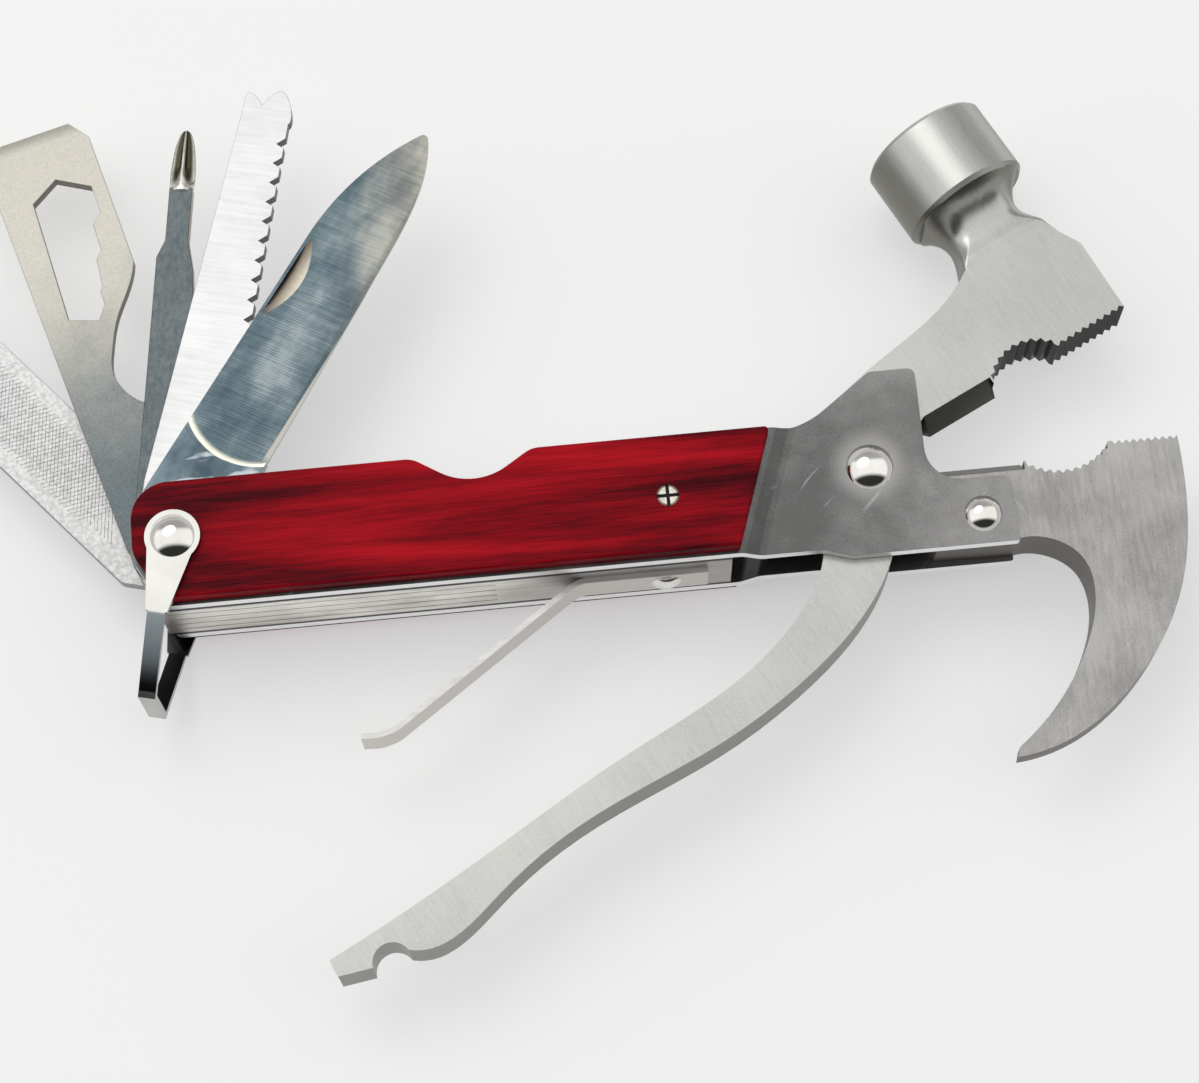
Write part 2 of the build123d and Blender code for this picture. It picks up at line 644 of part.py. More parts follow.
def all_pieces():
    front_plate = frame_plate()
    front_scale = wood_scale()
    screw = scale_screw()
    tools = {"knife_blade": knife_blade(), "saw_blade": saw_blade(), "phillips_driver": phillips_driver(),
             "opener_wrench": opener_wrench(), "file_blade": file_blade()}
    pieces = {
        "front_plate": front_plate,
        "back_plate": other_side(front_plate),
        "front_scale": front_scale,
        "back_scale": other_side(front_scale),
        "scale_screws": Compound([screw, other_side(screw)]),
        "tool_axle": rivet(axle_x, axle_y, axle_radius, axle_head_radius, axle_head_height, axle_shoulder),
        "tool_washers": tool_washers(),
        "jaw_pivot_rivet": rivet(0, 0, pivot_radius, pivot_head_radius, pivot_head_height, head_half),
        "claw_rivet": rivet(claw_rivet_x, claw_rivet_y, claw_rivet_radius, claw_rivet_head_radius,
                            claw_rivet_head_height, head_half),
        "claw_jaw": claw_jaw(),
        "hammer_lever": hammer_lever(),
        "tool_spring": tool_spring(),
        "spring_bracket": spring_bracket(),
        "leaf_spring_foot": leaf_spring_foot(),
        "leaf_spring_blade": leaf_spring_blade(),
        "leaf_spring_rivet": leaf_spring_rivet(),
        "lock_clip": lock_clip(),
    }
    for name, body in tools.items():
        pieces[name] = fold_out_tool(name, body)
    return pieces


pieces = all_pieces()
extent = Compound([Compound([body]) for body in pieces.values()]).bounding_box()
shift = Pos(-extent.center().X, -extent.center().Y, -extent.min.Z)
os.makedirs("parts", exist_ok=True)
for name, body in pieces.items():
    export_step(shift * body, f"parts/{name}.step")
print("pivot at", [round(-extent.center().X, 3), round(-extent.center().Y, 3), round(-extent.min.Z, 3)])
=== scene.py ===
import bpy
import bmesh
import json
import math
from mathutils import Matrix, Vector

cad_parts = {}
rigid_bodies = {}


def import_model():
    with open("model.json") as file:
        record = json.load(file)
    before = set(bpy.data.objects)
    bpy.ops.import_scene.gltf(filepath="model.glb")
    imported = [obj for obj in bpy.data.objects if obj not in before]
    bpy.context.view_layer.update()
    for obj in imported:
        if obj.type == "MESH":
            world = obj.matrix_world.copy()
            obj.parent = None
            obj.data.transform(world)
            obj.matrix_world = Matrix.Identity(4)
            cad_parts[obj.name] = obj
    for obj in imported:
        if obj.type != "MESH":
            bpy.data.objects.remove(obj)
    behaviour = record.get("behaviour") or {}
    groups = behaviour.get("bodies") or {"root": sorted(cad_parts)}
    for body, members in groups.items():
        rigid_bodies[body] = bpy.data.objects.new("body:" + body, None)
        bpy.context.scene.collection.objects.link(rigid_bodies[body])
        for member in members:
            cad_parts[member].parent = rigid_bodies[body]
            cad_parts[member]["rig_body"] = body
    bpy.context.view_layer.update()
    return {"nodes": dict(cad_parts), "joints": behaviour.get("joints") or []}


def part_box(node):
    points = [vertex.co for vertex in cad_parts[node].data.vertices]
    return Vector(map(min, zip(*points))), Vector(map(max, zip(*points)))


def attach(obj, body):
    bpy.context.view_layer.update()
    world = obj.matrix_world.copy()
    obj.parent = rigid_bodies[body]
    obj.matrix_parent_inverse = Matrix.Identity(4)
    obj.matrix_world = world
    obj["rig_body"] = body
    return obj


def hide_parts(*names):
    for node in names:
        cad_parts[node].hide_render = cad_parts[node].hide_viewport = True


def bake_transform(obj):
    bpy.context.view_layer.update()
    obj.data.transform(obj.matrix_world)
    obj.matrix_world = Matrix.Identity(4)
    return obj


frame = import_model()

MM = 0.001
joints = {joint["name"]: joint for joint in frame["joints"]}
PIVOT = Vector(joints["jaw_close"]["pos_m"])
AXLE = Vector(joints["clip_swing"]["pos_m"])
LEVER_OPEN = math.radians(-joints["jaw_close"]["range_deg"][0])
CLIP_REST = math.radians(-104)   # the clip's own direction from the axle at rest


def rest_turn(joint):
    """How far a fold-out tool stands open at rest, in radians."""
    return math.radians(-joints[joint]["range_deg"][0])


# ---- Shader building --------------------------------------------------------------------
class Field:
    """A number that varies over a surface. Arithmetic on it adds Math nodes."""

    def __init__(self, paint, socket):
        self.paint = paint
        self.socket = socket

    def _math(self, operation, first, second):
        node = self.paint.node("ShaderNodeMath", {"operation": operation}, {0: first, 1: second})
        return Field(self.paint, node.outputs[0])

    def __add__(self, other):
        return self._math("ADD", self, other)

    __radd__ = __add__

    def __sub__(self, other):
        return self._math("SUBTRACT", self, other)

    def __rsub__(self, other):
        return self._math("SUBTRACT", other, self)

    def __mul__(self, other):
        return self._math("MULTIPLY", self, other)

    __rmul__ = __mul__

    def band(self, low, high):
        """0 below low, 1 above high, and a smooth step between them."""
        settings = {"interpolation_type": "SMOOTHSTEP"}
        values = {"Value": self, "From Min": low, "From Max": high}
        return Field(self.paint, self.paint.node("ShaderNodeMapRange", settings, values).outputs[0])


class Paint:
    """A Principled material whose patterns are read in object coordinates."""

    def __init__(self, name, **constants):
        self.material = bpy.data.materials.new(name)
        self.material.use_nodes = True
        self.tree = self.material.node_tree
        self.shader = self.tree.nodes["Principled BSDF"]
        for socket, value in constants.items():
            self.shader.inputs[socket.replace("_", " ")].default_value = value

    def node(self, kind, settings=None, values=None):
        node = self.tree.nodes.new(kind)
        for name, value in (settings or {}).items():
            setattr(node, name, value)
        for name, value in (values or {}).items():
            self.connect(value, node.inputs[name])
        return node

    def connect(self, value, socket):
        if isinstance(value, Field):
            value = value.socket
        if isinstance(value, bpy.types.NodeSocket):
            self.tree.links.new(value, socket)
        else:
            socket.default_value = value

    def place(self, origin=(0, 0, 0), turn=0.0, stretch=(1, 1, 1)):
        """Object coordinates seen from an origin, turned back about Z, then stretched."""
        start = self.node("ShaderNodeTexCoord").outputs["Object"]
        moved = self.node("ShaderNodeMapping", {"vector_type": "TEXTURE"},
                          {"Vector": start, "Location": origin, "Rotation": (0, 0, turn)})
        scaled = self.node("ShaderNodeMapping", {}, {"Vector": moved.outputs[0], "Scale": stretch})
        return scaled.outputs[0]

    def distance(self, origin, turn, centre):
        """Distance in metres from an upright line through a point."""
        flat = self.place(origin, turn, (1, 1, 0))
        node = self.node("ShaderNodeVectorMath", {"operation": "DISTANCE"}, {0: flat, 1: (*centre, 0)})
        return Field(self, node.outputs["Value"])

    def lines(self, where, pitch, distortion=0.0):
        """Parallel bands across X, one every pitch metres."""
        node = self.node("ShaderNodeTexWave", {"bands_direction": "X"},
                         {"Vector": where, "Scale": math.tau / (20 * pitch), "Distortion": distortion,
                          "Detail": 2.0, "Detail Scale": 3.0})
        return Field(self, node.outputs["Fac"])

    def noise(self, where, scale, detail=3.0, roughness=0.55, distortion=0.0):
        node = self.node("ShaderNodeTexNoise", {}, {"Vector": where, "Scale": scale, "Detail": detail,
                                                    "Roughness": roughness, "Distortion": distortion})
        return Field(self, node.outputs[0])

    def axis(self, where, name):
        node = self.node("ShaderNodeSeparateXYZ", {}, {"Vector": where})
        return Field(self, node.outputs[name])

    def blend(self, factor, first, second):
        """The first colour where factor is 0, the second where it is 1."""
        node = self.node("ShaderNodeMix", {"data_type": "RGBA"}, {0: factor, 6: first, 7: second})
        return node.outputs[2]

    def ramp(self, factor, stops):
        node = self.node("ShaderNodeValToRGB", {}, {"Fac": factor})
        elements = node.color_ramp.elements
        while len(elements) < len(stops):
            elements.new(0.5)
        for element, (position, colour) in zip(elements, stops):
            element.position = position
            element.color = colour
        return node.outputs[0]

    def bump(self, height, distance, strength=1.0):
        node = self.node("ShaderNodeBump", {},
                         {"Height": height, "Distance": distance, "Strength": strength})
        self.set("Normal", node.outputs[0])

    def set(self, socket, value):
        self.connect(value, self.shader.inputs[socket])


def grey(level, warmth=0.0):
    return (level * (1 + warmth), level, level * (1 - warmth), 1)


# ---- Materials --------------------------------------------------------------------------
def wall_mask(paint):
    """1 on the walls of a flat piece and 0 on its faces, which all lie across Z. The materials paint shade
    and highlight on the walls through it.
    """
    normal = paint.node("ShaderNodeNewGeometry").outputs["Normal"]
    upright = paint.axis(normal, "Z")
    return 1 - (upright * upright).band(0.12, 0.55)


def steel(name, light, dark, wall_painted_tone, roughness, origin, turn, stretch,
          lines_share=0.6, mottle=0.5, scratches=0.0):
    """Steel with a grain along one direction, soft blotches, maybe scratches, and walls in their own tone:
    painted shade where darker, painted highlight where lighter, partly a duller finish.
    """
    speckle_share = 0.2
    paint = Paint(name, Metallic=1.0)
    along = paint.place(origin, turn, stretch)
    plain = paint.place(origin, turn)
    lines = paint.noise(along, 1500, 3, 0.6)
    blotch = paint.noise(plain, 85, 4, 0.55)
    speckle = paint.noise(plain, 3200, 2, 0.5)
    total = lines_share + mottle + speckle_share
    mix = (lines * lines_share + blotch * mottle + speckle * speckle_share) * (1 / total)
    walls = wall_mask(paint)
    colour = paint.ramp(mix, [(0.40, dark), (0.60, light)])
    if scratches:
        long_marks = (0.02, 1, 1)
        streak = paint.noise(paint.place(origin, turn + 0.5, long_marks), 1900, 2, 0.4).band(0.68, 0.74)
        other = paint.noise(paint.place(origin, turn - 0.9, long_marks), 1700, 2, 0.4).band(0.69, 0.75)
        colour = paint.blend((streak + other) * scratches, colour, grey(0.85))
    # Painted light: the walls take the given wall tone, darker or lighter than the faces for how light
    # falls on them, partly a duller finish.
    paint.set("Base Color", paint.blend(walls, colour, wall_painted_tone))
    paint.set("Roughness", roughness + (mix - 0.5) * 0.3 + walls * 0.12)
    paint.bump(lines + speckle * 0.3, 0.006 * MM, 0.3)
    return paint.material


def nick_shape(paint, along, across):
    """The nail nick in the knife: how deep into it, 1 inside its outline, and 1 near its walls."""
    middle, half_length = 47.7 * MM, 8.0 * MM
    top, depth = 9.1 * MM, 2.9 * MM
    lengthways = (along - middle) * (1 / half_length)
    inward = (top - across) * (1 / depth)
    inside = (1 - (lengthways * lengthways + inward).band(0.92, 1.0)) * inward.band(0.0, 0.06)
    nearby = across.band(5.4 * MM, 6.0 * MM) * along.band(38 * MM, 39 * MM)
    return inward, inside, nearby * (1 - along.band(56 * MM, 57 * MM))


def knife_steel():
    """Cross-ground blue-grey steel, warmer towards the point and the edge, with painted highlights along
    the rear grind line and on the steep walls, and painted shade in the nail nick.
    """
    turn = rest_turn("knife_fold")
    grind = turn + 0.10
    paint = Paint("knife_steel", Metallic=1.0)
    plain = paint.place(AXLE, turn)
    ground = paint.noise(paint.place(AXLE, grind, (1, 0.03, 1)), 2600, 3, 0.6)
    rows = paint.lines(paint.place(AXLE, grind), 0.45 * MM, 2.0)
    cloud = paint.noise(paint.place(AXLE, turn, (0.5, 1, 1)), 110, 4, 0.6)
    along, across = paint.axis(plain, "X"), paint.axis(plain, "Y")
    warm = (along - across * 2.2 + cloud * 0.03 - 0.015).band(44 * MM, 84 * MM)
    low_half = 1 - along.band(38 * MM, 60 * MM)
    mix = ground * 0.20 + cloud * 0.74 + rows * low_half * 0.06
    body = paint.ramp(mix, [(0.38, (0.050, 0.074, 0.090, 1)), (0.48, (0.082, 0.115, 0.132, 1)),
                            (0.56, (0.125, 0.163, 0.178, 1)), (0.66, (0.225, 0.26, 0.27, 1))])
    point = paint.ramp(ground * 0.25 + cloud * 0.75,
                       [(0.38, (0.20, 0.20, 0.18, 1)), (0.62, (0.36, 0.345, 0.30, 1))])
    colour = paint.blend(warm, body, point)
    bevel_length = along.band(18 * MM, 20 * MM) * (1 - along.band(40 * MM, 52 * MM))
    bevel = (1 - across.band(-4.0 * MM, -3.7 * MM)) * bevel_length
    colour = paint.blend(bevel * 0.75, colour, (0.62, 0.61, 0.55, 1))
    rear = paint.distance(AXLE, turn, (27.9 * MM, 1.9 * MM))
    rear_half = 1 - along.band(24 * MM, 25 * MM)
    behind = rear.band(11.9 * MM, 12.1 * MM) * rear_half
    # Painted highlight: a cream band along the curved rear end of the grind.
    rim = rear.band(10.7 * MM, 11.7 * MM) * rear_half * (1 - behind)
    smear = paint.noise(paint.place(AXLE, turn - 0.9, (0.25, 1, 1)), 420, 3, 0.6).band(0.56, 0.66)
    dull = paint.ramp(cloud, [(0.38, (0.040, 0.062, 0.080, 1)), (0.62, (0.13, 0.17, 0.19, 1))])
    tang = paint.blend(smear * 0.55, dull, (0.50, 0.54, 0.56, 1))
    colour = paint.blend(rim * 0.9, colour, (0.72, 0.69, 0.58, 1))
    colour = paint.blend(behind, colour, tang)
    depth, in_nick, by_nick = nick_shape(paint, along, across)
    # Painted shade in the nail nick: its floor dark by the spine-side wall and lighter further in.
    floor = paint.ramp(depth, [(0.10, (0.10, 0.08, 0.06, 1)), (0.45, (0.24, 0.21, 0.17, 1)),
                               (0.70, (0.36, 0.335, 0.275, 1)), (0.95, (0.46, 0.44, 0.37, 1))])
    colour = paint.blend(in_nick, colour, floor)
    tilt = paint.axis(paint.node("ShaderNodeNewGeometry").outputs["Normal"], "Z")
    steep = 1 - (tilt * tilt).band(0.3, 0.6)
    # Painted highlight: the blade's other steep walls are pale.
    colour = paint.blend(steep * (1 - by_nick), colour, (0.50, 0.49, 0.44, 1))
    # Painted shade: the nick's steep walls are near black.
    paint.set("Base Color", paint.blend(steep * by_nick, colour, (0.06, 0.045, 0.035, 1)))
    paint.set("Roughness", 0.26 + (1 - ground) * 0.18)
    paint.bump(ground, 0.02 * MM, 0.3)
    return paint.material


def opener_steel():
    """Matte warm grey, going darker and bluer towards the hub, with painted shade on the walls."""
    turn = rest_turn("opener_fold")
    paint = Paint("opener_steel", Metallic=1.0)
    plain = paint.place(AXLE, turn)
    cloud = paint.noise(plain, 70, 4, 0.6)
    speckle = paint.noise(plain, 2600, 3, 0.6)
    along = (paint.axis(plain, "X") + cloud * 0.03 - 0.015).band(14 * MM, 62 * MM)
    hub = paint.ramp(speckle, [(0.3, (0.095, 0.115, 0.125, 1)), (0.7, (0.165, 0.19, 0.195, 1))])
    blade = paint.ramp(speckle, [(0.3, (0.41, 0.395, 0.35, 1)), (0.7, (0.55, 0.53, 0.475, 1))])
    faces = paint.blend(along, hub, blade)
    # Painted shade: the walls take one tone, darker than the blade's faces.
    paint.set("Base Color", paint.blend(wall_mask(paint), faces, (0.20, 0.18, 0.16, 1)))
    paint.set("Roughness", 0.40 + speckle * 0.15)
    paint.bump(speckle, 0.02 * MM, 0.3)
    return paint.material


def stamped_steel():
    """Satin grey sheet: darker by the wood, a painted highlight in a ring round the pivot, painted
    highlights on the cut edges.
    """
    paint = Paint("stamped_steel", Metallic=1.0)
    plain = paint.place(PIVOT, 0.3)
    cloud = paint.noise(plain, 55, 3, 0.5, 0.4)
    patches = paint.noise(plain, 260, 4, 0.6)
    speckle = paint.noise(plain, 3200, 3, 0.6)
    along = paint.axis(paint.place(PIVOT), "X")
    mix = cloud * 0.40 + patches * 0.15 + speckle * 0.20 + along.band(-18 * MM, 22 * MM) * 0.16
    colour = paint.ramp(mix, [(0.34, grey(0.11, 0.01)), (0.46, grey(0.18, 0.01)),
                              (0.60, grey(0.29, 0.01))])
    reach = paint.distance(PIVOT, 0.0, (0, 0))
    # Painted highlight: a pale ring round the pivot rivet, where the plate catches the light.
    painted_pivot_highlight = 1 - (reach + cloud * 3 * MM).band(4.6 * MM, 8.5 * MM)
    colour = paint.blend(painted_pivot_highlight * 0.3, colour, grey(0.60, 0.01))
    nicks = paint.noise(paint.place(PIVOT, 0.8, (0.10, 1, 1)), 700, 2, 0.5).band(0.71, 0.76)
    colour = paint.blend(nicks * 0.25, colour, grey(0.6))
    # Painted highlight: the walls, the plate's cut edges, are near white.
    paint.set("Base Color", paint.blend(wall_mask(paint), colour, grey(0.92)))
    paint.set("Roughness", 0.27 + mix * 0.2)
    paint.bump(speckle * 0.6 + patches, 0.03 * MM, 0.25)
    return paint.material


def red_wood():
    """Red-dyed laminated hardwood: broad dark figure, long fine fibres, dark pores, a thin oil finish, a
    painted highlight in the middle and painted shade on the lower walls.
    """
    paint = Paint("red_wood", Metallic=0.0, IOR=1.45, Specular_IOR_Level=0.07)
    figure = paint.noise(paint.place(AXLE, -0.03, (0.10, 1.0, 0.5)), 95, 3, 0.5, 1.1)
    bands = paint.noise(paint.place(AXLE, 0.0, (0.045, 1.0, 0.6)), 260, 4, 0.6, 0.8)
    streaks = paint.noise(paint.place(AXLE, 0.01, (0.03, 1.0, 0.6)), 900, 4, 0.7, 0.2)
    fibres = paint.noise(paint.place(AXLE, 0.01, (0.04, 1.0, 1.0)), 4200, 3, 0.6)
    where = paint.place(AXLE)
    along = (paint.axis(where, "X") - 42 * MM) * (1 / (46 * MM))
    across = (paint.axis(where, "Y") + 0.5 * MM) * (1 / (8 * MM))
    # Painted highlight: the tone is lifted in a broad patch in the middle of the scale.
    painted_centre_highlight = 1 - (along * along + across * across).band(0.1, 1.5)
    tone = figure * 0.50 + bands * 0.20 + streaks * 0.16 + fibres * 0.18 + painted_centre_highlight * 0.07 - 0.035
    colour = paint.ramp(tone, [(0.38, (0.018, 0.0005, 0.0020, 1)), (0.45, (0.080, 0.0006, 0.004, 1)),
                               (0.52, (0.235, 0.0012, 0.007, 1)), (0.63, (0.48, 0.005, 0.014, 1))])
    pores = streaks.band(0.58, 0.72) * 0.45
    colour = paint.blend(pores, colour, (0.05, 0.0008, 0.004, 1))
    # Painted shade: the walls low down are near black, as in shadow.
    painted_shade_below = 1 - paint.axis(where, "Z").band(-2 * MM, 0.0)
    paint.set("Base Color", paint.blend(wall_mask(paint) * painted_shade_below, colour, (0.010, 0.0006, 0.002, 1)))
    paint.set("Roughness", 0.36 + streaks * 0.2)
    paint.bump(streaks * 0.5 - fibres * 0.6, 0.04 * MM, 0.5)
    return paint.material


def polished():
    """Bright rivet heads with faint dents."""
    paint = Paint("polished_steel", Metallic=1.0)
    where = paint.place()
    dents = paint.noise(where, 320, 3, 0.5)
    paint.set("Base Color", paint.ramp(dents, [(0.3, (0.70, 0.68, 0.64, 1)), (0.7, (0.86, 0.85, 0.82, 1))]))
    paint.set("Roughness", 0.04 + dents * 0.08)
    paint.bump(dents, 0.05 * MM, 0.3)
    return paint.material


def screw_steel():
    """Small cross-slot heads: dull faces, painted shade in near-black slots and a dark ring where they meet
    the wood.
    """
    paint = Paint("screw_steel", Metallic=1.0)
    low, high = (Vector(corner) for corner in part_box("scale_screws"))
    middle = (low + high) / 2
    speckle = paint.noise(paint.place(middle), 2600, 3, 0.6)
    height = paint.axis(paint.place(middle), "Z")
    head_height = high.z - middle.z
    # Painted shade: below the top of the head, in the slots, the colour is near black.
    painted_slot_shade = 1 - (height * height).band((head_height - 0.25 * MM) ** 2, (head_height - 0.12 * MM) ** 2)
    # Painted shade: a dark ring where the head meets the wood.
    ring = paint.distance(middle, 0.0, (0, 0)).band(1.35 * MM, 1.5 * MM)
    face = paint.ramp(speckle, [(0.35, (0.42, 0.40, 0.34, 1)), (0.65, (0.70, 0.67, 0.60, 1))])
    colour = paint.blend(ring, face, (0.16, 0.12, 0.10, 1))
    paint.set("Base Color", paint.blend(painted_slot_shade, colour, grey(0.015)))
    paint.set("Roughness", 0.25 + speckle * 0.2)
    paint.bump(speckle, 0.02 * MM, 0.3)
    return paint.material


def clip_steel():
    """Rolled strip: pale arms, a painted dark reflection on the strip's turned faces darkening outwards,
    painted shade near black inside the bail.
    """
    paint = Paint("clip_steel", Metallic=1.0)
    where = paint.place(AXLE, 0.0)
    cloud = paint.noise(where, 160, 3, 0.5)
    normal = paint.axis(paint.node("ShaderNodeNewGeometry").outputs["Normal"], "Z")
    side = paint.axis(where, "Z") * (1 / MM)
    # Painted shade: the faces inside the bail are near black.
    inside = 1 - (normal * side).band(-1.2, -0.4)
    pale = paint.ramp(cloud, [(0.3, (0.36, 0.352, 0.335, 1)), (0.7, (0.44, 0.432, 0.41, 1))])
    along = paint.axis(paint.place(AXLE, CLIP_REST), "X")
    strip = along.band(12.2 * MM, 12.8 * MM) * (1 - along.band(23.4 * MM, 23.7 * MM))
    # Painted reflection: the strip's turned faces go from slate to black outwards, as they mirror dark
    # surroundings.
    painted_dark_reflection = paint.ramp(along * (1 / (25 * MM)),
                       [(0.50, (0.20, 0.235, 0.25, 1)), (0.78, (0.11, 0.125, 0.135, 1)),
                        (0.90, (0.02, 0.02, 0.022, 1))])
    pale = paint.blend(strip * (normal * normal).band(0.1, 0.3), pale, painted_dark_reflection)
    paint.set("Base Color", paint.blend(inside, pale, (0.030, 0.030, 0.032, 1)))
    paint.set("Roughness", 0.16 + cloud * 0.14)
    paint.bump(cloud, 0.02 * MM, 0.3)
    return paint.material


def slit_spring():
    """Satin strip, painted shade near black along its edges beside the plates, and darker towards the
    front.
    """
    paint = Paint("slit_spring_steel", Metallic=1.0)
    plain = paint.place(AXLE)
    grain = paint.noise(paint.place(AXLE, 0.0, (0.06, 1, 1)), 1600, 3, 0.6)
    cloud = paint.noise(paint.place(AXLE, 0.0, (0.5, 1, 1)), 120, 4, 0.6)
    height = paint.axis(plain, "Z")
    # Painted shade: near black along the strip's edges beside the plates, for the shadowed gaps there.
    joint = (height * height).band((5.1 * MM) ** 2, (5.55 * MM) ** 2)
    colour = paint.ramp(grain * 0.3 + cloud * 0.7,
                        [(0.36, (0.52, 0.50, 0.46, 1)), (0.62, (0.92, 0.90, 0.85, 1))])
    front = paint.axis(plain, "X").band(44 * MM, 66 * MM)
    colour = paint.blend(front * 0.65, colour, (0.22, 0.20, 0.20, 1))
    paint.set("Base Color", paint.blend(joint, colour, grey(0.012)))
    paint.set("Roughness", 0.28 + cloud * 0.18)
    paint.bump(grain, 0.02 * MM, 0.3)
    return paint.material


def fluted_steel():
    """Bare steel wings, painted shade in the flutes between them, darker where deeper."""
    paint = Paint("fluted_steel", Metallic=1.0)
    depth = Field(paint, paint.node("ShaderNodeAttribute", {"attribute_name": "flute"}).outputs["Fac"])
    speckle = paint.noise(paint.place(AXLE), 2200, 3, 0.6)
    wings = paint.ramp(speckle, [(0.3, (0.42, 0.41, 0.36, 1)), (0.7, (0.80, 0.78, 0.72, 1))])
    # Painted shade: the flutes darken with their depth.
    painted_flute_shade = (depth + speckle * 0.1).band(0.12, 0.42)
    paint.set("Base Color", paint.blend(painted_flute_shade, wings, (0.055, 0.050, 0.032, 1)))
    paint.set("Roughness", 0.2 + speckle * 0.15)
    paint.bump(speckle, 0.02 * MM, 0.3)
    return paint.material


def forged_steel():
    """Satin forged steel, its walls darker in painted shade, partly a duller finish, and near black on the
    jaw's teeth and cutter.
    """
    paint = Paint("forged_steel", Metallic=1.0)
    plain = paint.place(PIVOT, LEVER_OPEN)
    lines = paint.noise(paint.place(PIVOT, LEVER_OPEN + math.radians(90), (0.08, 1, 1)), 2600, 3, 0.6)
    cloud = paint.noise(plain, 60, 3, 0.5)
    speckle = paint.noise(plain, 3600, 2, 0.5)
    along, across = paint.axis(plain, "X"), paint.axis(plain, "Y")
    mix = lines * 0.3 + cloud * 0.4 + speckle * 0.3
    colour = paint.ramp(mix, [(0.36, (0.42, 0.425, 0.405, 1)), (0.64, (0.52, 0.525, 0.50, 1))])
    walls = wall_mask(paint)
    jaw = along.band(11 * MM, 12 * MM) * (1 - across.band(9.5 * MM, 10.5 * MM))
    teeth = along.band(24.2 * MM, 24.9 * MM)
    # Painted shade, partly a duller finish: dark walls, near black on the jaw's teeth and cutter.
    scale = paint.blend(teeth, (0.055, 0.055, 0.045, 1), grey(0.012))
    side = paint.blend(jaw, (0.20, 0.195, 0.175, 1), scale)
    paint.set("Base Color", paint.blend(walls, colour, side))
    paint.set("Roughness", 0.30 + (mix - 0.5) * 0.3 + walls * 0.05)
    paint.bump(lines * 0.4 + speckle * 0.5, 0.005 * MM, 0.3)
    return paint.material


def make_materials():
    across_head = math.radians(90)
    return {
        "stamped_steel": stamped_steel(),
        "cast_steel": forged_steel(),
        # Each steel's third colour is its wall tone: painted shade on the claw, saw and file walls, painted
        # highlight on the spring and driver walls.
        "claw_steel": steel("claw_steel", grey(0.42, 0.02), grey(0.27, 0.02), grey(0.13, 0.08), 0.31,
                            PIVOT, across_head, (0.12, 1, 1), lines_share=0.25, mottle=0.5, scratches=0.10),
        "slit_spring": slit_spring(),
        "fluted_steel": fluted_steel(),
        "polished_steel": polished(),
        "screw_steel": screw_steel(),
        "spring_steel": steel("spring_steel", grey(0.56, 0.02), grey(0.42, 0.02), grey(0.62, 0.05), 0.36,
                              AXLE, 0.0, (0.05, 1, 1)),
        "clip_steel": clip_steel(),
        "red_wood": red_wood(),
        "knife_steel": knife_steel(),
        "opener_steel": opener_steel(),
        "bright_steel": steel("bright_steel", grey(0.50), grey(0.38), grey(0.12), 0.30,
                              AXLE, rest_turn("saw_fold"), (1, 0.05, 1), lines_share=0.8, mottle=0.8),
        "driver_steel": steel("driver_steel", (0.112, 0.128, 0.130, 1), (0.065, 0.078, 0.084, 1),
                              (0.42, 0.37, 0.30, 1), 0.34, AXLE, rest_turn("driver_fold"), (0.6, 1, 1),
                              lines_share=0.9, mottle=0.3),
        "file_steel": steel("file_steel", grey(0.62, 0.005), grey(0.38, 0.005), grey(0.36), 0.46,
                            AXLE, rest_turn("file_fold"), (1, 1, 1), lines_share=0.9, mottle=0.3),
    }


# ---- Pieces -----------------------------------------------------------------------------
def clean_copy(node, name):
    """A merged copy of a CAD node's mesh, its flat faces whole again."""
    mesh = frame["nodes"][node].data.copy()
    mesh.name = name
    shape = bmesh.new()
    shape.from_mesh(mesh)
    bmesh.ops.remove_doubles(shape, verts=shape.verts, dist=0.002 * MM)
    bmesh.ops.dissolve_limit(shape, angle_limit=math.radians(0.4), verts=shape.verts, edges=shape.edges)
    shape.to_mesh(mesh)
    shape.free()
    piece = bpy.data.objects.new(name, mesh)
    bpy.context.scene.collection.objects.link(piece)
    return piece


def bake_modifiers(piece):
    """Make the modifiers' result the piece's own plain mesh."""
    graph = bpy.context.evaluated_depsgraph_get()
    mesh = bpy.data.meshes.new_from_object(piece.evaluated_get(graph))
    piece.modifiers.clear()
    piece.data = mesh


def soften(piece, width, segments=2):
    """Round over a piece's corners and keep its flat faces shaded flat."""
    piece.data.shade_smooth()
    bevel = piece.modifiers.new("edges", "BEVEL")
    bevel.width = width * MM
    bevel.segments = segments
    bevel.limit_method = "ANGLE"
    bevel.angle_limit = math.radians(32)
    bevel.use_clamp_overlap = True
    normals = piece.modifiers.new("flat faces", "WEIGHTED_NORMAL")
    normals.weight = 100
    normals.keep_sharp = True
    bake_modifiers(piece)


def edged(node, material, width):
    """The node's own shape, its corners rounded over."""
    piece = clean_copy(node, node + "_finished")
    wide = width > 0.4
    soften(piece, width, 4 if wide else 2)
    finish_piece(piece, material, node)


def finish_piece(piece, material, *nodes):
    """Give a piece its material, and let it stand and move for the nodes it replaces."""
    piece.data.materials.clear()
    piece.data.materials.append(materials[material])
    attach(piece, frame["nodes"][nodes[0]]["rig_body"])
    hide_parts(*nodes)


